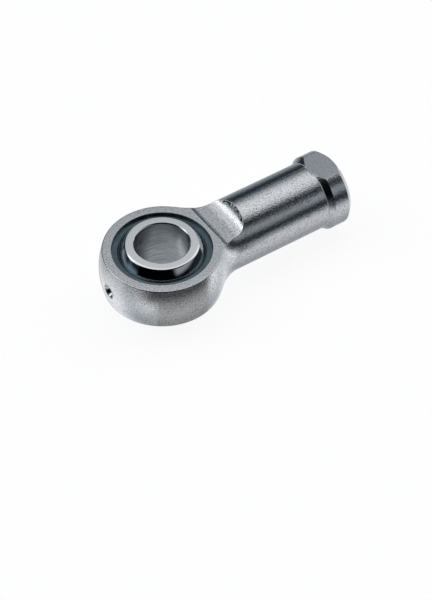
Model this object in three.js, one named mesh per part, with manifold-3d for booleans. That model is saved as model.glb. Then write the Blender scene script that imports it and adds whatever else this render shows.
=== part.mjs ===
// Female rod end with a steel-on-steel spherical plain bearing for a 20 mm pin.
//
// The rod end lies on its side: +X runs along the shank to the threaded end and +Z along the pin's
// bore. Every piece is shaped about the ball's centre, in millimetres, and the last group moves the
// whole assembly along X so that the origin is midway along its length, on the thread's axis.

import * as THREE from "three";
import { mergeVertices } from "three/addons/utils/BufferGeometryUtils.js";
import Module from "manifold-3d";

// Inner ring, the ball that the pin passes through
const pinBoreRadius = 10;
const ringWidth = 23.5;
const ringFaceRadius = 13.3;
const boreChamfer = 0.35;
const ballRadius = Math.hypot(ringWidth / 2, ringFaceRadius);

// Outer ring, the race that holds the ball
const ballClearance = 0.08;
const raceRadius = 19.7;
const raceHalfWidth = 7.7;
const raceChamfer = 1.5;
const raceGrooveWidth = 2.4;
const raceGrooveDepth = 0.35;

// Eye of the rod end body
const eyeRadius = 23;
const eyeFaceRadius = 21.6;
const eyeHalfThickness = 9;
const facingAllowance = 0.5;
const fitGap = 0.03;

// Shank, with the round collar at its end
const shankRadius = 13;
const neckFilletRadius = 15;
const neckRootX = 12;
const neckRootRadius = 16;
const collarRadius = 14.5;
const collarEndX = 74.8;
const collarConeStartX = 64.6;
const collarConeEndX = 67.05;
const collarChamferStartX = 73;
const collarFaceRadius = 12.8;
const wrenchFlatHalfWidth = 12.75;
const wrenchFlatStartX = 64;

// Milled hollow that lowers the neck on each side, a little below the eye's face
const hollowStartX = 19.8;
const hollowFloorZ = 8.65;
const hollowEntryRadius = 5;
const hollowExitRadius = 7;
const hollowExitX = 25.2;

// Metric thread M20 x 1.5 in the shank
const threadMajorRadius = 10;
const threadPitch = 1.5;
const threadMinorRadius = threadMajorRadius - (5 / 8) * (Math.sqrt(3) / 2) * threadPitch;
const threadEndX = collarEndX - 33;
const tapDrillEndX = threadEndX - 4;
const drillPointAngle = THREE.MathUtils.degToRad(59);
const threadMouthRadius = 10.4;
const grooveOverlap = 0.2;

// Flush grease nipple at the far end of the eye; distances run inwards from the ball's centre line
const nippleRadius = 2.8;
const nippleFaceAt = 22.75;
const nippleTailAt = 18.15;
const nippleHoleEndAt = 17;
const nippleChamfer = 0.2;
const funnelMouthRadius = 2.5;
const funnelDepth = 1.3;
const funnelFloorRadius = 1.75;
const throatRadius = 0.5;
const throatLength = 0.25;
const chamberRadius = 1.1;
const tailLipLength = 0.4;
const checkBallRadius = 0.8;
const springWireRadius = 0.125;
const springCoilRadius = 0.72;
const springTurns = 3;
const restGap = 0.02;

// How finely round shapes are divided
const turnedSides = 60;
const smallSides = 24;
const arcSteps = 8;
const shortArcSteps = 4;
const threadSides = 16;

// How near two corners are taken as one, and how far a cut reaches past the surface it opens
const mergeTolerance = 1e-4;
const pastTheSurface = 2;

// The outer surfaces' steel colours
const finishes = {
  blasted: { color: 0x9a9da0, roughness: 0.42, metalness: 1 },
  blued: { color: 0x3f4c52, roughness: 0.35, metalness: 1 },
  polished: { color: 0xb9bbbd, roughness: 0.12, metalness: 1 },
  plated: { color: 0x8c8f92, roughness: 0.3, metalness: 1 },
};

const wasm = await Module();
wasm.setup();

// ---- geometry helpers ----

function solid(geometry) {
  const bare = geometry.index ? geometry.toNonIndexed() : geometry.clone();
  bare.deleteAttribute("normal");
  bare.deleteAttribute("uv");
  const merged = mergeVertices(bare, mergeTolerance);
  return new wasm.Manifold(
    new wasm.Mesh({
      numProp: 3,
      vertProperties: merged.attributes.position.array,
      triVerts: new Uint32Array(merged.index.array),
    }),
  );
}

function geometryOf(manifold) {
  const mesh = manifold.getMesh();
  const geometry = new THREE.BufferGeometry();
  geometry.setAttribute("position", new THREE.BufferAttribute(new Float32Array(mesh.vertProperties), 3));
  geometry.setIndex(new THREE.BufferAttribute(new Uint32Array(mesh.triVerts), 1));
  geometry.computeVertexNormals();
  return geometry;
}

// A closed outline of [radius, height] corners turned about Z. The outline runs up its outer side.
function turnedAboutZ(outline, sides = turnedSides) {
  const points = [...outline, outline[0]].map(([radius, height]) => new THREE.Vector2(radius, height));
  return new THREE.LatheGeometry(points, sides).rotateX(Math.PI / 2);
}

// The same outline turned about X, with its heights along +X.
function turnedAboutX(outline, sides = turnedSides) {
  const points = [...outline, outline[0]].map(([radius, along]) => new THREE.Vector2(radius, along));
  return new THREE.LatheGeometry(points, sides).rotateZ(-Math.PI / 2);
}

// Points of a circular arc from one angle to another, both ends included.
function arc(centreX, centreY, radius, from, to, steps = arcSteps) {
  const curve = new THREE.EllipseCurve(centreX, centreY, radius, radius, from, to, to < from);
  return curve.getPoints(steps).map((point) => [point.x, point.y]);
}

// A flat profile of [axial, radial] corners wound round X, moving one pitch along X in each turn.
function woundAboutX(profile, pitch, turns, sidesPerTurn) {
  const geometry = new THREE.ExtrudeGeometry(profile, {
    depth: turns * 2 * Math.PI,
    steps: Math.round(turns * sidesPerTurn),
    bevelEnabled: false,
    curveSegments: shortArcSteps,
  });
  const position = geometry.attributes.position;
  for (let i = 0; i < position.count; i++) {
    const angle = position.getZ(i);
    const radius = position.getY(i);
    const along = position.getX(i) + (pitch * angle) / (2 * Math.PI);
    position.setXYZ(i, along, radius * Math.cos(angle), radius * Math.sin(angle));
  }
  return geometry;
}

// ---- rod end body ----

// The eye is a ring with a gently barrelled rim, left a little thick for facing.
function eyeBlank() {
  const rimDrop = eyeRadius - eyeFaceRadius;
  const rimArcRadius = (eyeHalfThickness ** 2 + rimDrop ** 2) / (2 * rimDrop);
  const reach = Math.asin((eyeHalfThickness + facingAllowance) / rimArcRadius);
  const rim = arc(eyeRadius - rimArcRadius, 0, rimArcRadius, -reach, reach);
  return turnedAboutZ([[0, rim[0][1]], ...rim, [0, rim.at(-1)[1]]]);
}

// The shank is turned with a fillet that is tangent to the eye's rim and to the shank.
function shankBlank() {
  const filletCentreY = shankRadius + neckFilletRadius;
  const filletCentreX = Math.sqrt((eyeRadius + neckFilletRadius) ** 2 - filletCentreY ** 2);
  const rimContact = Math.atan2(filletCentreY, filletCentreX);
  const fillet = arc(
    filletCentreY, filletCentreX, neckFilletRadius, 1.5 * Math.PI - rimContact, Math.PI,
  );
  return turnedAboutX([
    [0, neckRootX],
    [neckRootRadius, neckRootX],
    ...fillet,
    [shankRadius, collarConeStartX],
    [collarRadius, collarConeEndX],
    [collarRadius, collarChamferStartX],
    [collarFaceRadius, collarEndX],
    [0, collarEndX],
  ]);
}

// Everything that milling takes off above the eye's upper face and the neck. The hollow sinks from
// the face along one arc, runs level, and climbs out through the shank along a larger arc.
function facingCut() {
  const entryAngle = Math.acos(1 - (eyeHalfThickness - hollowFloorZ) / hollowEntryRadius);
  const entryX = hollowStartX + hollowEntryRadius * Math.sin(entryAngle);
  const exitHeight = shankRadius + pastTheSurface - hollowFloorZ;
  const exitAngle = Math.acos(1 - exitHeight / hollowExitRadius);
  const down = -Math.PI / 2;
  const outline = [
    [-eyeRadius - pastTheSurface, eyeHalfThickness],
    ...arc(
      entryX, hollowFloorZ + hollowEntryRadius, hollowEntryRadius, down - entryAngle, down, shortArcSteps,
    ),
    ...arc(hollowExitX, hollowFloorZ + hollowExitRadius, hollowExitRadius, down, down + exitAngle),
  ];
  outline.push([outline.at(-1)[0], eyeRadius], [-eyeRadius - pastTheSurface, eyeRadius]);
  const reach = eyeRadius + pastTheSurface;
  const shape = new THREE.Shape(outline.map(([x, z]) => new THREE.Vector2(x, z)));
  return new THREE.ExtrudeGeometry(shape, { depth: 2 * reach, bevelEnabled: false })
    .rotateX(Math.PI / 2)
    .translate(0, reach, 0);
}

function wrenchCut() {
  const length = collarEndX + pastTheSurface - wrenchFlatStartX;
  const depth = collarRadius + pastTheSurface - wrenchFlatHalfWidth;
  return new THREE.BoxGeometry(length, 2 * (collarRadius + pastTheSurface), depth).translate(
    wrenchFlatStartX + length / 2, 0, wrenchFlatHalfWidth + depth / 2,
  );
}

// The eye's bore, which closes over the race's chamfers in a swaged lip on each side.
function raceSeatCut() {
  const seatRadius = raceRadius + fitGap;
  const lipRadius = seatRadius - raceChamfer;
  const seatHeight = raceHalfWidth - raceChamfer + fitGap;
  const lipHeight = seatHeight + raceChamfer;
  const clearHeight = eyeHalfThickness + pastTheSurface;
  return turnedAboutZ([
    [0, -clearHeight],
    [lipRadius, -clearHeight],
    [lipRadius, -lipHeight],
    [seatRadius, -seatHeight],
    [seatRadius, seatHeight],
    [lipRadius, lipHeight],
    [lipRadius, clearHeight],
    [0, clearHeight],
  ]);
}

function tapDrillCut() {
  const pointLength = threadMinorRadius / Math.tan(drillPointAngle);
  return turnedAboutX([
    [0, tapDrillEndX - pointLength],
    [threadMinorRadius, tapDrillEndX],
    [threadMinorRadius, collarEndX - (threadMouthRadius - threadMinorRadius)],
    [threadMouthRadius, collarEndX],
    [threadMouthRadius, collarEndX + pastTheSurface],
    [0, collarEndX + pastTheSurface],
  ], threadSides);
}

// The 60 degree groove between the thread's crests, wound in from the mouth.
function threadGrooveCut() {
  const rootHalfWidth = threadPitch / 16;
  const baseRadius = threadMinorRadius - grooveOverlap;
  const baseHalfWidth = rootHalfWidth + (threadMajorRadius - baseRadius) * Math.tan(Math.PI / 6);
  const groove = new THREE.Shape([
    new THREE.Vector2(-baseHalfWidth, baseRadius),
    new THREE.Vector2(baseHalfWidth, baseRadius),
    new THREE.Vector2(rootHalfWidth, threadMajorRadius),
    new THREE.Vector2(-rootHalfWidth, threadMajorRadius),
  ]);
  const turns = (collarEndX + threadPitch - threadEndX) / threadPitch;
  return woundAboutX(groove, threadPitch, turns, threadSides).translate(threadEndX, 0, 0);
}

// The drive-in hole for the grease nipple, through the eye's wall and the race.
function nippleHoleCut() {
  const holeRadius = nippleRadius + fitGap;
  const length = eyeRadius + pastTheSurface - nippleHoleEndAt;
  return new THREE.CylinderGeometry(holeRadius, holeRadius, length, smallSides)
    .rotateZ(Math.PI / 2)
    .translate(-nippleHoleEndAt - length / 2, 0, 0);
}

function rodEndBody() {
  const millingCuts = [facingCut(), wrenchCut()];
  let body = solid(eyeBlank()).add(solid(shankBlank()));
  for (const cut of millingCuts) {
    body = body.subtract(solid(cut)).subtract(solid(cut.clone().rotateX(Math.PI)));
  }
  for (const cut of [raceSeatCut(), tapDrillCut(), threadGrooveCut(), nippleHoleCut()]) {
    body = body.subtract(solid(cut));
  }
  return geometryOf(body);
}

// ---- bearing ----

function outerRing() {
  const seatRadius = ballRadius + ballClearance;
  const seatEnd = Math.asin(raceHalfWidth / seatRadius);
  const grooveEnd = Math.asin(raceGrooveWidth / 2 / seatRadius);
  const grooveRadius = seatRadius + raceGrooveDepth;
  const ring = turnedAboutZ([
    [raceRadius - raceChamfer, -raceHalfWidth],
    [raceRadius, -raceHalfWidth + raceChamfer],
    [raceRadius, raceHalfWidth - raceChamfer],
    [raceRadius - raceChamfer, raceHalfWidth],
    ...arc(0, 0, seatRadius, seatEnd, grooveEnd, shortArcSteps),
    [grooveRadius, raceGrooveWidth / 2],
    [grooveRadius, -raceGrooveWidth / 2],
    ...arc(0, 0, seatRadius, -grooveEnd, -seatEnd, shortArcSteps),
  ]);
  return geometryOf(solid(ring).subtract(solid(nippleHoleCut())));
}

function innerRing() {
  const halfWidth = ringWidth / 2;
  const edge = Math.atan2(halfWidth, ringFaceRadius);
  return turnedAboutZ([
    [pinBoreRadius, halfWidth - boreChamfer],
    [pinBoreRadius, -halfWidth + boreChamfer],
    [pinBoreRadius + boreChamfer, -halfWidth],
    ...arc(0, 0, ballRadius, -edge, edge, 2 * arcSteps),
    [pinBoreRadius + boreChamfer, halfWidth],
  ]);
}

// ---- grease nipple ----

// Distances along the nipple are measured from the ball's centre out to the eye's far end.
const throatAt = nippleFaceAt - funnelDepth;
const seatAt = throatAt - throatLength;
const checkBallAt = seatAt - Math.sqrt(checkBallRadius ** 2 - throatRadius ** 2) - restGap;
const tailLipAt = nippleTailAt + tailLipLength;

function nippleBody() {
  const outline = [
    [nippleRadius - nippleChamfer, -nippleFaceAt],
    [nippleRadius, -nippleFaceAt + nippleChamfer],
    [nippleRadius, -nippleTailAt - nippleChamfer],
    [nippleRadius - nippleChamfer, -nippleTailAt],
    [throatRadius, -nippleTailAt],
    [throatRadius, -tailLipAt],
    [chamberRadius, -tailLipAt],
    [chamberRadius, -seatAt + chamberRadius - throatRadius],
    [throatRadius, -seatAt],
    [throatRadius, -throatAt],
    [funnelFloorRadius, -throatAt],
    [funnelMouthRadius, -nippleFaceAt],
  ];
  return turnedAboutX(outline, smallSides);
}

function checkBall() {
  return new THREE.SphereGeometry(checkBallRadius, smallSides, arcSteps);
}

// The coil stands on the nipple's tail lip and bears on the check ball.
function nippleSpring() {
  const lowest = -tailLipAt - springWireRadius - restGap;
  const contact = Math.asin(springCoilRadius / (checkBallRadius + springWireRadius));
  const highest = -checkBallAt + (checkBallRadius + springWireRadius) * Math.cos(contact) + restGap;
  const wire = new THREE.Shape().absarc(0, springCoilRadius, springWireRadius, 0, 2 * Math.PI);
  const pitch = (lowest - highest) / springTurns;
  return woundAboutX(wire, pitch, springTurns, smallSides / 2).translate(highest, 0, 0);
}

// ---- assembly ----

function piece(name, geometry, finish) {
  const mesh = new THREE.Mesh(geometry, new THREE.MeshStandardMaterial(finishes[finish]));
  mesh.name = name;
  return mesh;
}

const bearing = new THREE.Group();
bearing.add(piece("outer_ring", outerRing(), "blued"));
bearing.add(piece("inner_ring", innerRing(), "polished"));

const checkBallMesh = piece("nipple_check_ball", checkBall(), "polished");
checkBallMesh.position.x = -checkBallAt;

const greaseNipple = new THREE.Group();
greaseNipple.add(piece("nipple_body", nippleBody(), "plated"));
greaseNipple.add(checkBallMesh);
greaseNipple.add(piece("nipple_spring", nippleSpring(), "plated"));

const rodEnd = new THREE.Group();
rodEnd.add(piece("rod_end_body", rodEndBody(), "blasted"));
rodEnd.add(bearing);
rodEnd.add(greaseNipple);
rodEnd.position.x = (eyeRadius - collarEndX) / 2;

export default rodEnd;
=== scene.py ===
# The looks of a female rod end with a steel-on-steel spherical plain bearing.
#
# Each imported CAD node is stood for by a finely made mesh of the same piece. Meshes are shaped in
# millimetres about the ball's centre, with +X along the shank and +Z along the pin's bore, and are
# then scaled to metres and moved to where the frame holds the ball.

import functools
import math

import bmesh
import bpy
import numpy as np
from mathutils import Matrix, Vector


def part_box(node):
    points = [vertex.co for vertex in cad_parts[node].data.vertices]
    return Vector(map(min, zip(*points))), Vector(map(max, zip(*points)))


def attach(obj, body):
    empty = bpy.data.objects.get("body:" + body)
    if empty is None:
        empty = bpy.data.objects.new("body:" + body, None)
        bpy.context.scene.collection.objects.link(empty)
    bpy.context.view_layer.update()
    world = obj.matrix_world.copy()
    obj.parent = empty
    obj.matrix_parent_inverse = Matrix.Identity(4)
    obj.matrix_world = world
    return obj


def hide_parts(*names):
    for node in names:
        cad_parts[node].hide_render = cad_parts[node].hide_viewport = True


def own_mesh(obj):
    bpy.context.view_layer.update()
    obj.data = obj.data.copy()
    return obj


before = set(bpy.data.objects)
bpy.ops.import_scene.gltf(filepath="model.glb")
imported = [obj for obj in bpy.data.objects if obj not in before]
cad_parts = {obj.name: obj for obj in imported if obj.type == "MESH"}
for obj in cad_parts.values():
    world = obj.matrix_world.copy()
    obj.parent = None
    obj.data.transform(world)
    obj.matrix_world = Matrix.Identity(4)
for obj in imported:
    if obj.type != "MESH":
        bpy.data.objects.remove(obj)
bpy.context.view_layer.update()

MM = 0.001

# ---- sizes, in millimetres from the ball's centre ----

ring_low, ring_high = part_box("inner_ring")
race_low, race_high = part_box("outer_ring")
body_low, body_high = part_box("rod_end_body")
nipple_low, nipple_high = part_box("nipple_body")
spring_low, spring_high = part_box("nipple_spring")
check_low, check_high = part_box("nipple_check_ball")
ball_centre = (ring_low + ring_high) / 2

# Inner ring, the ball
ball_radius = (ring_high.x - ring_low.x) / 2 / MM
ring_half_width = (ring_high.z - ring_low.z) / 2 / MM
ring_face_radius = math.sqrt(ball_radius**2 - ring_half_width**2)
pin_bore_radius = 10
bore_chamfer = 0.35
ring_edge_radius = 1.0

# Outer ring, the race
race_radius = (race_high.y - race_low.y) / 2 / MM
race_half_width = (race_high.z - race_low.z) / 2 / MM
race_chamfer = 1.5
race_groove_half_width = 1.2
race_groove_depth = 0.35
ball_clearance = 0.08

# Eye of the body
eye_radius = body_high.y / MM
eye_half_thickness = 9
eye_face_radius = 21.6
rim_roundness = (eye_radius**2 - eye_face_radius**2) / eye_half_thickness**2
seat_gap = 0.03
lip_radius = race_radius + seat_gap - race_chamfer
rim_edge_break = 0.45

# Neck; it starts inside the eye, where it is trimmed this far outside the race and its sides slope
# under the rim
neck_start_x = 15.2
neck_trim = 0.8
neck_buried_slope = 0.05
neck_fillet_radius = 15
neck_rounding_start_x = 15.5
neck_rounding_end_x = 26
neck_end_x = 26.2

# Shank and collar
shank_radius = body_high.z / MM
collar_radius = 14.5
collar_end_x = (body_high.x - ball_centre.x) / MM
cone_start_x = 64.6
cone_end_x = 67.05
cone_root_depth = 0.15
cone_root_length = 0.2
chamfer_start_x = 73
collar_face_radius = 12.8
wrench_flat_z = 12.75
wrench_flat_start_x = 64

# Milled hollow on each side of the neck
facing_start_x = 12
hollow_start_x = 19.8
hollow_floor_z = 8.65
hollow_entry_radius = 5
hollow_exit_radius = 7
hollow_exit_x = 25.2
slope_start_x = 29.6
brink_start_x = 24

# M20 x 1.5 thread in the shank
thread_major_radius = 10
thread_pitch = 1.5
thread_minor_radius = thread_major_radius - 5 / 8 * math.sqrt(3) / 2 * thread_pitch
thread_half_angle = math.radians(30)
thread_root_half_width = thread_pitch / 16
groove_overlap = 0.25
thread_depth = 33
tap_run_out = 4
thread_end_x = collar_end_x - thread_depth
tap_drill_end_x = thread_end_x - tap_run_out
drill_point_slope = math.tan(math.radians(59))
thread_mouth_radius = 10.4

# Grease nipple; its distances run along -X
nipple_hole_end_at = ball_radius - 1
nipple_radius = (nipple_high.y - nipple_low.y) / 2 / MM
nipple_face_at = (ball_centre.x - nipple_low.x) / MM
nipple_tail_at = (ball_centre.x - nipple_high.x) / MM
funnel_mouth_radius = 2.5
funnel_depth = 1.3
funnel_floor_radius = 1.75
throat_radius = 0.5
throat_length = 0.25
throat_edge_break = 0.06
chamber_radius = 1.1
tail_lip = 0.4
check_ball_radius = (check_high.y - check_low.y) / 2 / MM
check_ball_at = (ball_centre.x - (check_low.x + check_high.x) / 2) / MM
spring_wire_radius = 0.125
spring_coil_radius = (spring_high.y - spring_low.y) / 2 / MM - spring_wire_radius
spring_turns = 3

# Edge roundings, from the crispest
CRISP = 0.08
FINE = 0.1
PLAIN = 0.12
RACE = 0.15
SOFT = 0.2
FULL = 0.25

# How finely the round shapes are divided
SIDES = 240
THREAD_SIDES = 96
SMALL_SIDES = 72
SPRING_STEPS = 48
WIRE_SIDES = 16
CORNER_STEPS = 4
RIM_ROWS = 25
NECK_ROWS = 56
ENTRY_STEPS = 10
EXIT_STEPS = 32
SEAT_STEPS = 24
SPHERE_STEPS = 96
CHECK_BALL_STEPS = 32

# How far a cutting tool reaches past the surface, and what counts as nothing
PAST = 2
NOTHING = 1e-6

# How level a face's normal is, and how near its height is, for it to be on a wrench flat
LEVEL_NORMAL = 0.999
HEIGHT_TOLERANCE = 0.01

# How near a point's radius is to the bore's for it to be in the bore
RADIUS_TOLERANCE = 1e-4

# Points closer than this are one point, and edges shorter than this are no edge
MERGE_DISTANCE = 0.002
SHORTEST_EDGE = 0.001

# ---- studio sizes ----

# How bright the studio is round the object, by the angle up from the level behind it: over the top
# at 90 degrees, to the level in front at 180 and under the object from 180 to 360.
STUDIO_BANDS = [
    (0, 0.15), (8, 0.04), (16, 0.006), (26, 0.016), (36, 0.10), (47, 0.42), (59, 0.78), (71, 0.90),
    (96, 0.81), (104, 0.58), (111, 0.11), (117, 0.003), (128, 0.0), (176, 0.001), (184, 0.03),
    (190, 0.30), (200, 0.70), (214, 0.70), (240, 0.56), (256, 0.43), (272, 0.37), (285, 0.42),
    (299, 0.58), (320, 0.68), (335, 0.44), (350, 0.28),
]

# The bands' red and blue for a green of 1, in dim light and from FULL_WARMTH up
DIM_RED = 0.62
DIM_BLUE = 1.25
BRIGHT_RED = 1.0
BRIGHT_BLUE = 1.02
FULL_WARMTH = 0.5

# Two small soft lights: direction, angle across in degrees, strength
SOFT_LIGHTS = [((-0.54, 0.60, 0.59), 30, 0.75), ((-0.72, 0.58, 0.38), 24, 0.40)]

# Colours of the patches, and what the camera sees past the floor
PANEL_LIGHT = (0.33, 0.36, 0.39, 1)
DIM_LEVEL = (0.018, 0.026, 0.034, 1)
DARK_LEVEL = (0.006, 0.009, 0.012, 1)
COOL_GLOW = (0.64, 1.0, 1.32, 1)
BACKDROP = (0.96, 0.96, 0.965, 1)

# Floor, with its reach in metres; the cards lie CARD_GAP millimetres below the object, the floor twice that
FLOOR_REACH = 4.0
FLOOR_GLOW = 0.895
CARD_GAP = 0.1

# Cards of painted shade seen only in reflections, in millimetres from the ball's centre; the front one's near
# side follows the eye and the neck
FRONT_CARD = [
    (-130, -20), (-130, -130), (60, -130), (57, -90), (56, -60), (52, -52), (40, -48), (32, -45),
    (20, -34), (8, -21), (-14, -17), (-30, -36), (-50, -24),
]
BORE_CARD_CENTRE = (3, -4)
BORE_CARD_RADIUS = 12.5
BORE_CARD_SIDES = 32
BORE_CARD_GLOW = 0.34

# Camera, in millimetres: the point it aims at, from the ball's centre, and its place about that point
CAMERA_AIM = (6.47, -24.87, 0)
CAMERA_AZIMUTH = math.radians(-34.07)
CAMERA_ELEVATION = math.radians(46.75)
CAMERA_DISTANCE = 817.5
CAMERA_LENS = 138
CAMERA_SENSOR = 36

# How near and how far the camera sees, in metres
CAMERA_NEAR = 0.01
CAMERA_FAR = 20


# ---- outlines ----


def arc(centre, radius, start, end, steps):
    """Points of an arc between two angles in degrees, both ends included."""
    angles = np.radians(np.linspace(start, end, steps + 1))
    return [(centre[0] + radius * math.cos(a), centre[1] + radius * math.sin(a)) for a in angles]


def rounded(corners, closed=True):
    """An outline from corners (a, b) and (a, b, radius); a corner with a radius becomes an arc."""
    points = []
    count = len(corners)
    for i, corner in enumerate(corners):
        here = Vector(corner[:2])
        at_end = not closed and i in (0, count - 1)
        if len(corner) < 3 or at_end:
            points.append(tuple(here))
            continue
        before = (Vector(corners[i - 1][:2]) - here).normalized()
        after = (Vector(corners[(i + 1) % count][:2]) - here).normalized()
        half = before.angle(after) / 2
        centre = here + (before + after).normalized() * corner[2] / math.sin(half)
        first = here + before * corner[2] / math.tan(half) - centre
        last = here + after * corner[2] / math.tan(half) - centre
        turn = first.angle_signed(last)
        for k in range(CORNER_STEPS + 1):
            angle = math.atan2(first.y, first.x) - turn * k / CORNER_STEPS
            outward = Vector((math.cos(angle), math.sin(angle)))
            points.append(tuple(centre + outward * corner[2]))
    return points


# ---- meshes ----


def ring_of(radius, height, sides=SIDES):
    """A circle of points about Z, or one point where the radius is nothing."""
    if radius < NOTHING:
        return np.array([[0, 0, height]])
    angles = np.linspace(0, 2 * math.pi, sides, endpoint=False)
    return np.stack([radius * np.cos(angles), radius * np.sin(angles), np.full(sides, height)], axis=1)


def along_x(points):
    """Turns what was made about Z so that it lies about X."""
    return points[:, [2, 0, 1]]


def skin(name, rows, wrap=False, kinds=None):
    """A mesh object stretched over rows of points. kinds gives each band's material slot."""
    starts = np.cumsum([0] + [len(row) for row in rows])
    faces, slots = [], []
    bands = [(i, i + 1) for i in range(len(rows) - 1)] + ([(len(rows) - 1, 0)] if wrap else [])
    for band, (a, b) in enumerate(bands):
        sides = max(len(rows[a]), len(rows[b]))
        for j in range(sides):
            k = (j + 1) % sides
            corners = [
                int(starts[a] + j % len(rows[a])), int(starts[a] + k % len(rows[a])),
                int(starts[b] + k % len(rows[b])), int(starts[b] + j % len(rows[b])),
            ]
            faces.append(list(dict.fromkeys(corners)))
            slots.append(kinds[band] if kinds else 0)
    mesh = bpy.data.meshes.new(name)
    mesh.from_pydata(np.concatenate(rows).tolist(), [], faces)
    mesh.polygons.foreach_set("material_index", slots)
    made = bpy.data.objects.new(name, mesh)
    bpy.context.scene.collection.objects.link(made)
    return made


def turned(name, outline, turn=None, sides=SIDES, kinds=None):
    """A closed outline of (radius, height) points turned about Z; it runs up its outer side."""
    rows = [ring_of(radius, height, sides) for radius, height in outline]
    if turn:
        rows = [turn(row) for row in rows]
    on_axis = outline[0][0] < NOTHING and outline[-1][0] < NOTHING
    return skin(name, rows, wrap=not on_axis, kinds=kinds)


def wound(name, profile, start_x, pitch, turns, steps_per_turn):
    """A closed profile of (x, radius) points wound round X."""
    profile = np.array(profile)
    rows = []
    steps = round(turns * steps_per_turn)
    for i in range(steps + 1):
        angle = 2 * math.pi * turns * i / steps
        x = start_x + profile[:, 0] + pitch * angle / (2 * math.pi)
        y, z = profile[:, 1] * math.cos(angle), profile[:, 1] * math.sin(angle)
        rows.append(np.stack([x, y, z], axis=1))
    rows.insert(0, rows[0].mean(axis=0, keepdims=True))
    rows.append(rows[-1].mean(axis=0, keepdims=True))
    return skin(name, rows)


def prism(name, outline, reach):
    """An outline of (x, z) points, clockwise, drawn out along Y to both sides."""
    rows = [np.array([[x, y, z] for x, z in outline]) for y in (-reach, reach)]
    made = skin(name, rows)
    count = len(outline)
    shape = bmesh.new()
    shape.from_mesh(made.data)
    shape.verts.ensure_lookup_table()
    shape.faces.new([shape.verts[i] for i in range(count)][::-1])
    shape.faces.new([shape.verts[count + i] for i in range(count)])
    bmesh.ops.recalc_face_normals(shape, faces=shape.faces)
    shape.to_mesh(made.data)
    shape.free()
    return made


def combine(target, tools, operation="DIFFERENCE"):
    """Cuts the tools out of the target, or joins them to it, and removes the tools."""
    for tool in tools:
        step = target.modifiers.new("combine", "BOOLEAN")
        step.solver = "MANIFOLD"
        step.operation = operation
        step.object = tool
    whole = bpy.context.evaluated_depsgraph_get()
    mesh = bpy.data.meshes.new_from_object(target.evaluated_get(whole))
    target.modifiers.clear()
    target.data = mesh
    for tool in tools:
        bpy.data.objects.remove(tool)
    return target


def finish_piece(piece, node, body, materials, sharp_angle=14):
    """Moves a piece to its place in metres, shades it, gives it its materials and puts it on its body."""
    shape = bmesh.new()
    shape.from_mesh(piece.data)
    bmesh.ops.remove_doubles(shape, verts=shape.verts, dist=MERGE_DISTANCE)
    bmesh.ops.dissolve_degenerate(shape, edges=shape.edges, dist=SHORTEST_EDGE)
    shape.to_mesh(piece.data)
    shape.free()
    piece.data.transform(Matrix.Translation(ball_centre) @ Matrix.Scale(MM, 4))
    piece.data.shade_smooth()
    piece.data.set_sharp_from_angle(angle=math.radians(sharp_angle))
    while len(piece.data.materials) < len(materials):
        piece.data.materials.append(None)
    for slot_index, material in enumerate(materials):
        piece.data.materials[slot_index] = material
    weighted = piece.modifiers.new("even_shading", "WEIGHTED_NORMAL")
    weighted.keep_sharp = True
    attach(piece, body)
    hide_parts(node)
    return piece


# ---- rod end body ----


def eye_mesh():
    """The eye as a turned ring: a barrelled rim, flat faces, and swaged lips over the race."""
    top = eye_half_thickness
    seat = race_radius + seat_gap
    seat_top = race_half_width - race_chamfer + seat_gap
    lip_top = seat_top + race_chamfer
    heights = np.linspace(-top + rim_edge_break, top - rim_edge_break, RIM_ROWS)
    rim = [(math.sqrt(eye_radius**2 - rim_roundness * z * z), z) for z in heights]
    half = rounded([
        rim[-1], (eye_face_radius, top, rim_edge_break), (lip_radius, top, PLAIN),
        (lip_radius, lip_top, CRISP), (seat, seat_top, FINE), (seat, 0),
    ], closed=False)
    mirrored = [(r, -z) for r, z in half[::-1]]
    return turned("rod_end_body", rim[1:-1] + half[:-1] + [(seat, 0)] + mirrored[1:])


def neck_radius(x):
    """Half the neck's breadth in plan: a fillet from the eye's rim to the shank."""
    centre_y = shank_radius + neck_fillet_radius
    centre_x = math.sqrt((eye_radius + neck_fillet_radius) ** 2 - centre_y**2)
    contact_x = centre_x * eye_radius / (eye_radius + neck_fillet_radius)
    if x < contact_x:
        return math.sqrt(eye_radius**2 - x * x) - neck_buried_slope * (contact_x - x)
    if x > centre_x:
        return shank_radius
    return centre_y - math.sqrt(neck_fillet_radius**2 - (x - centre_x) ** 2)


def neck_height_share(x):
    """How much taller than broad the neck's section is; it ends up round at the shank."""
    length = neck_rounding_end_x - neck_rounding_start_x
    share = min(max((x - neck_rounding_start_x) / length, 0), 1)
    share = share * share * (3 - 2 * share)
    return 1 / math.sqrt(rim_roundness + (1 - rim_roundness) * share)


def shank_mesh():
    """The neck, shank and collar as round sections along X."""
    profile = [(neck_radius(x), x) for x in np.linspace(neck_start_x, neck_end_x, NECK_ROWS)]
    profile += rounded([
        (shank_radius, neck_end_x), (shank_radius, cone_start_x, PLAIN),
        (shank_radius - cone_root_depth, cone_start_x + cone_root_length, FINE),
        (collar_radius, cone_end_x, FULL), (collar_radius, chamfer_start_x, SOFT),
        (collar_face_radius, collar_end_x, SOFT), (0, collar_end_x),
    ], closed=False)[1:]
    profile.insert(0, (0, profile[0][1]))
    rows = []
    for radius, x in profile:
        row = along_x(ring_of(radius, x))
        row[:, 2] *= neck_height_share(x)
        rows.append(row)
    return skin("shank", rows)


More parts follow.
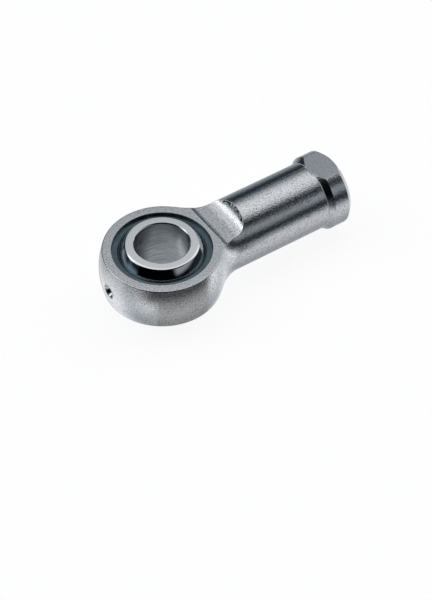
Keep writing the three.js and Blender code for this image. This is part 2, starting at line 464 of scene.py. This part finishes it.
def facing_cut():
    """What milling takes off above the eye's face and the neck."""
    entry_depth = eye_half_thickness - hollow_floor_z
    entry_angle = math.degrees(math.acos(1 - entry_depth / hollow_entry_radius))
    entry_x = hollow_start_x + hollow_entry_radius * math.sin(math.radians(entry_angle))
    exit_height = shank_radius + PAST - hollow_floor_z
    exit_angle = math.degrees(math.acos(1 - exit_height / hollow_exit_radius))
    entry_centre = (entry_x, hollow_floor_z + hollow_entry_radius)
    exit_centre = (hollow_exit_x, hollow_floor_z + hollow_exit_radius)
    outline = [(facing_start_x, eye_half_thickness)]
    outline += arc(entry_centre, hollow_entry_radius, -90 - entry_angle, -90, ENTRY_STEPS)
    outline += arc(exit_centre, hollow_exit_radius, -90, -90 + exit_angle, EXIT_STEPS)
    outline += [(outline[-1][0], eye_radius), (facing_start_x, eye_radius)]
    return prism("facing", outline, eye_radius + PAST)


def wrench_cut():
    end_x = collar_end_x + PAST
    return prism("wrench", [
        (wrench_flat_start_x, wrench_flat_z), (end_x, wrench_flat_z),
        (end_x, eye_radius), (wrench_flat_start_x, eye_radius),
    ], eye_radius)


def tapped_hole_cuts():
    """The tap drill's hole with its chamfered mouth, and the thread's groove."""
    point = thread_minor_radius / drill_point_slope
    mouth = thread_mouth_radius - thread_minor_radius
    hole = turned("tap_drill", [
        (0, tap_drill_end_x - point), (thread_minor_radius, tap_drill_end_x),
        (thread_minor_radius, collar_end_x - mouth), (thread_mouth_radius, collar_end_x),
        (thread_mouth_radius + PAST, collar_end_x + PAST), (0, collar_end_x + PAST),
    ], turn=along_x, sides=THREAD_SIDES)
    root = thread_root_half_width
    base_radius = thread_minor_radius - groove_overlap
    base = root + (thread_major_radius - base_radius) * math.tan(thread_half_angle)
    turns = (collar_end_x + thread_pitch - thread_end_x) / thread_pitch
    groove = wound("thread", [
        (-base, base_radius), (-root, thread_major_radius), (root, thread_major_radius), (base, base_radius),
    ], thread_end_x, thread_pitch, turns, THREAD_SIDES)
    return [hole, groove]


def nipple_hole_cut():
    return turned("nipple_hole", [
        (0, -eye_radius - PAST), (nipple_radius + seat_gap, -eye_radius - PAST),
        (nipple_radius + seat_gap, -nipple_hole_end_at), (0, -nipple_hole_end_at),
    ], turn=along_x, sides=SMALL_SIDES)


def body_mesh():
    """The eye and the shank joined, then milled; the wrench flats have material slot 1."""
    trim = race_radius + neck_trim
    eye_bore = turned("eye_bore", [
        (0, -eye_radius), (trim, -eye_radius), (trim, eye_radius), (0, eye_radius),
    ])
    shank = combine(shank_mesh(), [eye_bore] + tapped_hole_cuts())
    body = combine(eye_mesh(), [shank], "UNION")
    tools = [nipple_hole_cut()]
    for make in (facing_cut, wrench_cut):
        above, below = make(), make()
        below.data.transform(Matrix.Rotation(math.pi, 4, "X"))
        tools += [above, below]
    body = combine(body, tools)
    for face in body.data.polygons:
        level = abs(face.normal.z) > LEVEL_NORMAL
        at_height = abs(abs(face.center.z) - wrench_flat_z) < HEIGHT_TOLERANCE
        face.material_index = 1 if level and at_height else 0
    return body


# ---- bearing ----


def outer_ring_mesh():
    seat = ball_radius + ball_clearance
    top, groove = race_half_width, race_groove_half_width
    seat_end = math.degrees(math.asin(top / seat))
    groove_end = math.degrees(math.asin(groove / seat))
    inner = arc((0, 0), seat, seat_end, groove_end, SEAT_STEPS)
    half = rounded([
        (race_radius, 0), (race_radius, top - race_chamfer, RACE), (race_radius - race_chamfer, top, RACE),
        inner[0],
    ], closed=False)
    half += inner[1:] + [(seat + race_groove_depth, groove), (seat + race_groove_depth, 0)]
    mirrored = [(r, -z) for r, z in half[::-1]]
    ring = turned("outer_ring", half[:-1] + mirrored[:-1])
    return combine(ring, [nipple_hole_cut()])


def inner_ring_mesh():
    """Material slots: 0 the polished sphere, 1 the ground faces and chamfers, 2 the turned bore."""
    top = ring_half_width
    edge = math.degrees(math.atan2(top, ring_face_radius))
    kept = edge - math.degrees(ring_edge_radius / 2 / ball_radius)
    sphere = arc((0, 0), ball_radius, -kept, kept, SPHERE_STEPS)
    corner = (ring_face_radius, top)
    face = rounded([
        sphere[-1], (*corner, ring_edge_radius), (pin_bore_radius + bore_chamfer, top, FINE),
        (pin_bore_radius, top - bore_chamfer, FINE), (pin_bore_radius, 0),
    ], closed=False)
    mirrored = [(r, -z) for r, z in face[::-1]]
    outline = sphere + face[1:] + mirrored[1:-1]
    bore_radius = pin_bore_radius + RADIUS_TOLERANCE
    kinds = []
    for i, (radius, _) in enumerate(outline):
        following = outline[(i + 1) % len(outline)][0]
        in_bore = radius < bore_radius and following < bore_radius
        kinds.append(0 if i < len(sphere) - 1 else 2 if in_bore else 1)
    return turned("inner_ring", outline, kinds=kinds)


# ---- grease nipple ----


def nipple_mesh():
    face, tail = -nipple_face_at, -nipple_tail_at
    throat = face + funnel_depth
    seat = throat + throat_length
    lip = tail - tail_lip
    return turned("nipple_body", rounded([
        (funnel_mouth_radius, face, CRISP), (nipple_radius, face, SOFT), (nipple_radius, tail, FULL),
        (throat_radius, tail, CRISP), (throat_radius, lip), (chamber_radius, lip),
        (chamber_radius, seat + chamber_radius - throat_radius, FINE), (throat_radius, seat),
        (throat_radius, throat, throat_edge_break), (funnel_floor_radius, throat, FINE),
    ]), turn=along_x, sides=SMALL_SIDES)


def check_ball_mesh():
    half_circle = arc((0, 0), check_ball_radius, -90, 90, CHECK_BALL_STEPS)
    outline = [(max(radius, 0), height - check_ball_at) for radius, height in half_circle]
    return turned("nipple_check_ball", outline, turn=along_x, sides=SMALL_SIDES)


def spring_mesh():
    start = (spring_low.x - ball_centre.x) / MM + spring_wire_radius
    end = (spring_high.x - ball_centre.x) / MM - spring_wire_radius
    wire = arc((0, spring_coil_radius), spring_wire_radius, 0, 360, WIRE_SIDES)[:-1]
    pitch = (end - start) / spring_turns
    return wound("nipple_spring", wire[::-1], start, pitch, spring_turns, SPRING_STEPS)


# ---- materials ----


class Shader:
    """A material's node tree, with the piece's own coordinates in millimetres from the ball's centre."""

    def __init__(self, name):
        self.material = bpy.data.materials.new(name)
        self.material.use_nodes = True
        self.tree = self.material.node_tree
        self.surface = self.tree.nodes["Principled BSDF"]
        local = self.add("ShaderNodeTexCoord", {}).outputs["Object"]
        centred = self.add("ShaderNodeVectorMath", {0: local, 1: ball_centre}, operation="SUBTRACT")
        scaled = self.add("ShaderNodeVectorMath", {0: centred.outputs[0], "Scale": 1 / MM}, operation="SCALE")
        self.place = scaled.outputs[0]
        self.x, self.y, self.z = self.add("ShaderNodeSeparateXYZ", {0: self.place}).outputs

    def put(self, node, inputs):
        """Links a node's inputs to other nodes, or sets them."""
        for key, value in inputs.items():
            if isinstance(value, bpy.types.NodeSocket):
                self.tree.links.new(value, node.inputs[key])
            else:
                node.inputs[key].default_value = value

    def add(self, kind, inputs, **settings):
        node = self.tree.nodes.new(kind)
        for key, value in settings.items():
            setattr(node, key, value)
        self.put(node, inputs)
        return node

    def math(self, operation, first, second=0.0):
        return self.add("ShaderNodeMath", {0: first, 1: second}, operation=operation).outputs[0]

    def plus(self, *values):
        return functools.reduce(lambda total, value: self.math("ADD", total, value), values)

    def times(self, *values):
        return functools.reduce(lambda total, value: self.math("MULTIPLY", total, value), values)

    def length(self, first, second):
        return self.math("SQRT", self.plus(self.times(first, first), self.times(second, second)))

    def vector(self, x, y, z):
        return self.add("ShaderNodeCombineXYZ", {0: x, 1: y, 2: z}).outputs[0]

    def stretched(self, x, y, z):
        """The piece's coordinates, each multiplied by its own factor."""
        factors = (x, y, z)
        return self.add("ShaderNodeVectorMath", {0: self.place, 1: factors}, operation="MULTIPLY").outputs[0]

    def noise(self, scale, detail=2.0, roughness=0.5, place=None):
        return self.add("ShaderNodeTexNoise", {
            "Vector": place or self.place, "Scale": scale, "Detail": detail, "Roughness": roughness,
        }).outputs["Fac"]

    def span(self, value, low, high, to_low, to_high, smooth=False):
        return self.add("ShaderNodeMapRange", {
            "Value": value, "From Min": low, "From Max": high, "To Min": to_low, "To Max": to_high,
        }, interpolation_type="SMOOTHSTEP" if smooth else "LINEAR").outputs[0]

    def rise(self, value, low, high, top=1.0, smooth=False):
        """Nothing below low, growing to top at high."""
        return self.span(value, low, high, 0.0, top, smooth)

    def fall(self, value, low, high, top=1.0, smooth=False):
        """The full top below low, fading to nothing at high."""
        return self.span(value, low, high, top, 0.0, smooth)

    def varied(self, noise, low, high):
        """A value that a noise moves from low to high; the noise is hardly ever outside 0.3 to 0.7."""
        return self.span(noise, 0.3, 0.7, low, high)

    def blend(self, share, first, second):
        mix = self.add("ShaderNodeMix", {0: share, 6: first, 7: second}, data_type="RGBA")
        return mix.outputs[2]

    def mottled(self, noise, first, second):
        """Two colours in the patches of a noise."""
        return self.blend(self.rise(noise, 0.35, 0.65), first, second)

    def edge(self, radius):
        """A normal that rounds the edges over a radius in millimetres."""
        return self.add("ShaderNodeBevel", {"Radius": radius * MM}, samples=6).outputs[0]

    def bump(self, height, depth, normal=None):
        """A bump whose height of 1 is depth millimetres."""
        inputs = {"Height": height, "Distance": depth * MM, "Strength": 1.0}
        if normal:
            inputs["Normal"] = normal
        return self.add("ShaderNodeBump", inputs).outputs[0]

    def metal(self, colour, roughness, normal):
        """Ends the tree as bare metal, and gives the material."""
        self.put(self.surface, {
            "Base Color": colour, "Roughness": roughness, "Metallic": 1.0, "Normal": normal,
        })
        return self.material

    def glowing(self, colour, glow):
        """Ends the tree as a matt surface with a white glow, and gives the material."""
        self.put(self.surface, {
            "Base Color": colour, "Roughness": 1.0, "Specular IOR Level": 0.0,
            "Emission Color": WHITE, "Emission Strength": glow,
        })
        return self.material


def grey(value, blue=0.0):
    return (value * (1 - blue), value, value * (1 + blue), 1)


BLACK = (0, 0, 0, 1)
WHITE = (1, 1, 1, 1)


def blasted_steel():
    """The body: a fine shot-blasted grain with small dark pits.

    The lip's inner wall is painted dark as shade. The milled slope out of the hollow is torn and coarse, its
    speckle partly painted shade, up to a painted highlight along the brink at the shank's round side.
    """
    s = Shader("blasted_steel")
    grain = s.noise(2.1, detail=1.5, roughness=0.6)
    fine = s.noise(5.0, detail=2.0, roughness=0.6)
    cloud = s.noise(0.16, detail=3.0)
    pits = s.fall(s.noise(1.9, detail=1.0), 0.30, 0.38)
    torn = s.fall(s.noise(1.3, detail=1.0), 0.47, 0.53)
    chatter = s.noise(2.2, detail=2.0)

    # Painted shade: the lip's inner wall, recessed over the race, is coloured dark.
    painted_shade_lip_wall = s.fall(s.length(s.x, s.y), lip_radius + 0.02, lip_radius + 0.17)
    from_axis = s.length(s.y, s.z)
    inside_shank = s.fall(from_axis, shank_radius - 0.04, shank_radius - 0.02)
    # The milled slope near the shank's round side: its white and near-black speckle is partly the torn
    # surface and partly painted shade.
    slope_torn_and_painted_dark = s.times(
        s.rise(from_axis, shank_radius - 1.4, shank_radius - 0.7), inside_shank,
        s.rise(s.x, slope_start_x, slope_start_x + 0.8),
    )
    # Painted highlight: a bright line along the brink where the slope meets the shank's round side.
    painted_highlight_brink = s.times(
        s.rise(from_axis, shank_radius - 0.28, shank_radius - 0.20), inside_shank,
        s.rise(s.x, brink_start_x, brink_start_x + 2.5),
    )

    colour = s.mottled(cloud, grey(0.58, 0.02), grey(0.64, 0.03))
    colour = s.blend(s.rise(grain, 0.35, 0.70), colour, grey(0.86, 0.03))
    colour = s.blend(s.times(pits, 0.8), colour, grey(0.20, 0.05))
    # Painted shade on the lip's inner wall.
    colour = s.blend(painted_shade_lip_wall, colour, (0.22, 0.29, 0.32, 1))
    # Painted shade mixed into the torn slope's speckle.
    colour = s.blend(slope_torn_and_painted_dark, colour, s.blend(torn, WHITE, (0.01, 0.02, 0.03, 1)))
    # Painted highlight along the brink.
    colour = s.blend(painted_highlight_brink, colour, grey(0.97))
    roughness = s.plus(s.varied(fine, 0.15, 0.26), s.times(slope_torn_and_painted_dark, 0.45))
    normal = s.bump(grain, 0.06, s.bump(fine, 0.012, s.edge(0.2)))
    normal = s.bump(s.times(chatter, slope_torn_and_painted_dark), 0.12, normal)
    return s.metal(colour, roughness, normal)


def milled_steel():
    """The wrench flats: milled, a little darker than the blasted body, with faint cutter marks."""
    s = Shader("milled_steel")
    marks = s.noise(1.0, detail=3.0, place=s.stretched(2.2, 0.5, 0.5))
    grain = s.noise(2.2, detail=3.0, roughness=0.7)
    colour = s.mottled(marks, grey(0.45, 0.05), grey(0.56, 0.05))
    colour = s.blend(s.rise(grain, 0.35, 0.65, top=0.4), colour, grey(0.66, 0.05))
    normal = s.bump(marks, 0.03, s.bump(grain, 0.02, s.edge(0.22)))
    return s.metal(colour, s.varied(grain, 0.2, 0.3), normal)


def blued_steel():
    """The race: dark phosphated steel with turning rings."""
    s = Shader("blued_steel")
    rings = s.noise(1.0, detail=2.0, place=s.vector(s.times(s.length(s.x, s.y), 5.0), s.z, s.x))
    blotches = s.noise(0.3, detail=3.0)
    colour = s.mottled(blotches, (0.10, 0.145, 0.165, 1), (0.13, 0.185, 0.205, 1))
    normal = s.bump(rings, 0.01, s.bump(s.noise(6.0), 0.004, s.edge(0.12)))
    return s.metal(colour, s.varied(blotches, 0.26, 0.38), normal)


def polished_steel():
    """The ball's sphere: lapped bearing steel with hardly any haze."""
    s = Shader("polished_steel")
    haze = s.noise(0.5, detail=3.0)
    colour = s.blend(s.varied(haze, 0.0, 1.0), grey(0.60, 0.02), grey(0.66, 0.02))
    return s.metal(colour, s.varied(haze, 0.07, 0.12), s.edge(0.08))


def ground_steel():
    """The ball's end faces: ground flat, with fine rings round the bore."""
    s = Shader("ground_steel")
    swept = s.vector(s.times(s.length(s.x, s.y), 9.0), s.times(s.x, 0.12), s.times(s.y, 0.12))
    rings = s.noise(1.0, detail=3.0, place=swept)
    colour = s.mottled(rings, grey(0.88, 0.01), grey(0.95, 0.01))
    return s.metal(colour, s.varied(rings, 0.10, 0.16), s.bump(rings, 0.004, s.edge(0.1)))


def turned_bore_steel():
    """The pin's bore: fine rings left by the turning tool, grouped in bands.

    Painted shade darkens it towards the top. More painted shade darkens both sides of it as the camera sees
    them, and there is a painted gleam beside the right one.
    """
    s = Shader("turned_bore_steel")
    lines = s.noise(1.0, detail=3.0, roughness=0.7, place=s.stretched(0.12, 0.12, 2.6))
    bands = s.noise(1.0, detail=3.0, place=s.stretched(0.08, 0.08, 0.8))
    blotches = s.noise(0.35, detail=3.0)
    across = s.plus(s.times(s.x, math.cos(CAMERA_AZIMUTH)), s.times(s.y, math.sin(CAMERA_AZIMUTH)))

    # Painted shade: the bore darkens towards the top; this is the share of its own colour that is left.
    free_of_painted_shade = s.times(s.span(s.z, -4.0, 10.5, 1.0, 0.55), s.span(s.z, 9.8, 11.3, 1.0, 0.5))
    # Painted shade on both sides of the bore as the camera sees them, varied by blotches.
    film_and_painted_shade = s.plus(s.fall(across, -10.0, -4.0, top=0.9, smooth=True), s.rise(across, 8.0, 9.6, top=0.8))
    film_and_painted_shade = s.times(film_and_painted_shade, s.varied(blotches, 0.8, 1.2))
    gleam = s.times(
        s.rise(across, 4.6, 6.4), s.fall(across, 6.4, 7.8), s.rise(s.z, -2.0, 3.0), s.fall(s.z, 5.0, 9.0),
    )

    colour = s.mottled(bands, grey(0.74, 0.07), grey(0.94, 0.07))
    colour = s.blend(s.fall(lines, 0.38, 0.58, top=0.55), colour, grey(0.32, 0.08))
    # Painted shade towards the top of the bore.
    colour = s.blend(free_of_painted_shade, grey(0.24, 0.09), colour)
    # Painted shade on the bore's sides.
    colour = s.blend(film_and_painted_shade, colour, grey(0.08, 0.09))
    colour = s.blend(gleam, colour, WHITE)
    return s.metal(colour, s.varied(blotches, 0.30, 0.46), s.bump(lines, 0.03, s.bump(bands, 0.04)))


def plated_steel():
    """The nipple: bright zinc plate with turning lines."""
    s = Shader("plated_steel")
    lines = s.noise(1.0, detail=2.0, place=s.stretched(9.0, 0.3, 0.3))
    colour = s.mottled(s.noise(1.2), grey(0.62, 0.03), grey(0.70, 0.05))
    return s.metal(colour, s.varied(lines, 0.16, 0.26), s.bump(lines, 0.004))


def spring_steel():
    """The nipple's spring: drawn wire with a grey film."""
    s = Shader("spring_steel")
    film_and_painted_shade = s.noise(6.0, detail=3.0)
    colour = s.mottled(film_and_painted_shade, grey(0.38, 0.02), grey(0.50, 0.02))
    return s.metal(colour, s.varied(film_and_painted_shade, 0.3, 0.45), s.bump(film_and_painted_shade, 0.003))


# ---- pieces ----

bright = polished_steel()
body_steels = [blasted_steel(), milled_steel()]
ball_steels = [bright, ground_steel(), turned_bore_steel()]
finish_piece(body_mesh(), "rod_end_body", "housing", body_steels)
finish_piece(outer_ring_mesh(), "outer_ring", "housing", [blued_steel()])
finish_piece(inner_ring_mesh(), "inner_ring", "ball", ball_steels)
finish_piece(nipple_mesh(), "nipple_body", "housing", [plated_steel()])
finish_piece(check_ball_mesh(), "nipple_check_ball", "check_ball", [bright])
spring = finish_piece(
    spring_mesh(), "nipple_spring", "housing", [spring_steel()], sharp_angle=60,
)
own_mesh(spring)


# ---- studio ----


class Sky(Shader):
    """The world's node tree. Its place is the direction looked in, with z up."""

    def __init__(self, world):
        world.use_nodes = True
        self.tree = world.node_tree
        self.tree.nodes.clear()
        self.place = self.add("ShaderNodeTexCoord", {}).outputs["Generated"]
        self.x, self.y, self.z = self.add("ShaderNodeSeparateXYZ", {0: self.place}).outputs

    def bands(self, share, stops):
        """A ramp round the circle from (degrees, brightness) stops; dim light is bluer than bright."""
        ramp = self.add("ShaderNodeValToRGB", {0: share})
        elements = ramp.color_ramp.elements
        elements.remove(elements[-1])
        for i, (degrees, value) in enumerate(stops):
            element = elements[0] if i == 0 else elements.new(degrees / 360)
            element.position = degrees / 360
            warmth = min(value / FULL_WARMTH, 1)
            red = DIM_RED + (BRIGHT_RED - DIM_RED) * warmth
            blue = DIM_BLUE + (BRIGHT_BLUE - DIM_BLUE) * warmth
            element.color = (value * red, value, value * blue, 1)
        return ramp.outputs[0]

    def lit(self, light, more):
        """Light with more light over it."""
        mix = self.add("ShaderNodeMix", {0: 1.0, 6: light, 7: more}, data_type="RGBA", blend_type="ADD")
        return mix.outputs[2]

    def spot(self, direction, across, strength):
        """A soft round light in a direction, across degrees wide."""
        centre = Vector(direction).normalized()
        facing = self.add("ShaderNodeVectorMath", {0: self.place, 1: centre}, operation="DOT_PRODUCT")
        rim = math.cos(math.radians(across / 2))
        return self.rise(facing.outputs["Value"], rim, (1 + rim) / 2, top=strength, smooth=True)


def studio_world():
    """A big light over and behind the object and dark round the camera, with patches and soft lights."""
    world = bpy.data.worlds.new("studio")
    w = Sky(world)

    # High up, the bands lean. They stay in place where the camera sees them in the shank's top, since
    # every reflection in the shank keeps the camera ray's x.
    shank_x = -math.sin(CAMERA_AZIMUTH) * math.cos(CAMERA_ELEVATION)
    lean = w.times(w.rise(w.z, 0.25, 0.6, top=0.35), w.math("SUBTRACT", w.x, shank_x))
    angle = w.math("ARCTAN2", w.z, w.plus(w.y, lean))
    light = w.bands(w.math("FRACT", w.times(angle, 1 / (2 * math.pi))), STUDIO_BANDS)

    # Patches that add light
    front_right = w.times(
        w.rise(w.x, -0.10, 0.14, smooth=True), w.fall(w.y, -0.2, -0.05, smooth=True),
        w.rise(w.z, 0.20, 0.38, smooth=True), w.fall(w.z, 0.53, 0.66, smooth=True),
    )
    low_left = w.times(w.fall(w.x, -0.65, -0.45, top=0.25), w.fall(w.z, -0.55, -0.35))
    low_behind_left = w.times(
        w.fall(w.x, -0.1, 0.15), w.rise(w.y, 0.05, 0.4, top=0.42), w.fall(w.z, -0.72, -0.58),
    )
    low_behind_right = w.times(
        w.rise(w.x, 0.40, 0.52), w.rise(w.y, 0.0, 0.3, top=0.30), w.fall(w.z, -0.72, -0.58),
    )
    low_right = w.times(w.rise(w.x, 0.55, 0.75, top=0.34), w.fall(w.z, -0.3, -0.15))
    light = w.lit(light, w.blend(front_right, BLACK, PANEL_LIGHT))
    for patch in (low_left, low_behind_left, low_behind_right, low_right):
        light = w.lit(light, patch)

    # Patches that take the light's place
    level_right = w.times(
        w.rise(w.x, 0.46, 0.62), w.rise(w.z, -0.26, -0.16), w.fall(w.z, 0.08, 0.26),
    )
    level_behind = w.times(
        w.fall(w.x, -0.02, 0.14), w.rise(w.x, -0.42, -0.32), w.rise(w.y, 0.7, 0.85),
        w.rise(w.z, -0.18, -0.12), w.fall(w.z, 0.12, 0.20),
    )
    level_left = w.times(
        w.fall(w.x, -0.88, -0.78), w.rise(w.z, -0.06, 0.02), w.fall(w.z, 0.48, 0.60),
    )
    low_glow = w.times(w.span(w.z, 0.08, 0.26, 0.26, 0.01), w.rise(w.y, 0.02, 0.14))
    light = w.blend(level_right, light, DIM_LEVEL)
    light = w.blend(level_behind, light, DARK_LEVEL)
    light = w.blend(level_left, light, w.blend(low_glow, BLACK, COOL_GLOW))

    for spot in SOFT_LIGHTS:
        light = w.lit(light, w.spot(*spot))
    rays = w.add("ShaderNodeLightPath", {})
    seen = w.blend(rays.outputs["Is Camera Ray"], light, BACKDROP)
    background = w.add("ShaderNodeBackground", {"Color": seen, "Strength": 1.0})
    w.add("ShaderNodeOutputWorld", {0: background.outputs[0]})
    bpy.context.scene.world = world


def flat_sheet(name, corners, height, material):
    mesh = bpy.data.meshes.new(name)
    mesh.from_pydata([(x, y, height) for x, y in corners], [], [list(range(len(corners)))])
    mesh.materials.append(material)
    made = bpy.data.objects.new(name, mesh)
    bpy.context.scene.collection.objects.link(made)
    return made


def floor():
    """A plain pale floor. The metal doesn't reflect it: it reflects the cards and the studio's bands."""
    reach = FLOOR_REACH
    corners = [(-reach, -reach), (reach, -reach), (reach, reach), (-reach, reach)]
    pale = Shader("floor").glowing(grey(0.24), FLOOR_GLOW)
    sheet = flat_sheet("floor", corners, body_low.z - 2 * CARD_GAP * MM, pale)
    sheet.visible_glossy = False


def card(name, corners, material):
    """A card of painted light and shade lying by the object, in millimetres from the ball's centre, that only
    reflections show.
    """
    places = [(ball_centre.x + x * MM, ball_centre.y + y * MM) for x, y in corners]
    sheet = flat_sheet(name, places, body_low.z - CARD_GAP * MM, material)
    sheet.visible_camera = False
    sheet.visible_diffuse = False
    sheet.visible_shadow = False


def front_card_glow():
    """Painted light and shade for reflections: a dim glow that grows towards the eye, fades under it, and
    grows again towards the left.
    """
    s = Shader("front_painted_shade_card")
    from_centre = s.length(s.x, s.y)
    near = s.fall(from_centre, 44.0, 74.0, top=0.30, smooth=True)
    nearer = s.fall(from_centre, 34.0, 44.0, top=0.10)
    # Painted shade: the glow drops under the eye.
    under = s.fall(from_centre, 24.0, 31.0, top=-0.14)
    angle = s.math("ARCTAN2", s.x, s.times(s.y, -1.0))
    left = s.fall(angle, math.radians(-75), math.radians(-45), top=0.34, smooth=True)
    everywhere = 0.05
    return s.glowing(BLACK, s.plus(near, nearer, left, under, everywhere))


def cards():
    """Sheets of painted shade for reflections: a dark card in front of the eye and a dim one under the pin's
    bore.
    """
    # Painted light and shade seen only in reflections, in front of the eye.
    card("front_painted_shade_card", FRONT_CARD, front_card_glow())
    corners = arc(BORE_CARD_CENTRE, BORE_CARD_RADIUS, 0, 360, BORE_CARD_SIDES)[:-1]
    # Painted shade for reflections: a dim glowing sheet under the pin's bore, where the floor is shaded.
    card("bore_painted_shade_card", corners, Shader("bore_painted_shade_card").glowing(BLACK, BORE_CARD_GLOW))


def camera():
    """A long lens, high in front and to the left of the eye."""
    level = math.cos(CAMERA_ELEVATION)
    back = Vector((
        math.sin(CAMERA_AZIMUTH) * level, -math.cos(CAMERA_AZIMUTH) * level, math.sin(CAMERA_ELEVATION),
    ))
    aim = ball_centre + Vector(CAMERA_AIM) * MM
    data = bpy.data.cameras.new("camera")
    data.lens = CAMERA_LENS
    data.sensor_width = CAMERA_SENSOR
    data.clip_start = CAMERA_NEAR
    data.clip_end = CAMERA_FAR
    made = bpy.data.objects.new("camera", data)
    made.location = aim + back * CAMERA_DISTANCE * MM
    made.rotation_euler = (-back).to_track_quat("-Z", "Y").to_euler()
    bpy.context.scene.collection.objects.link(made)
    bpy.context.scene.camera = made


studio_world()
floor()
cards()
camera()
bpy.context.scene.view_settings.view_transform = "Standard"
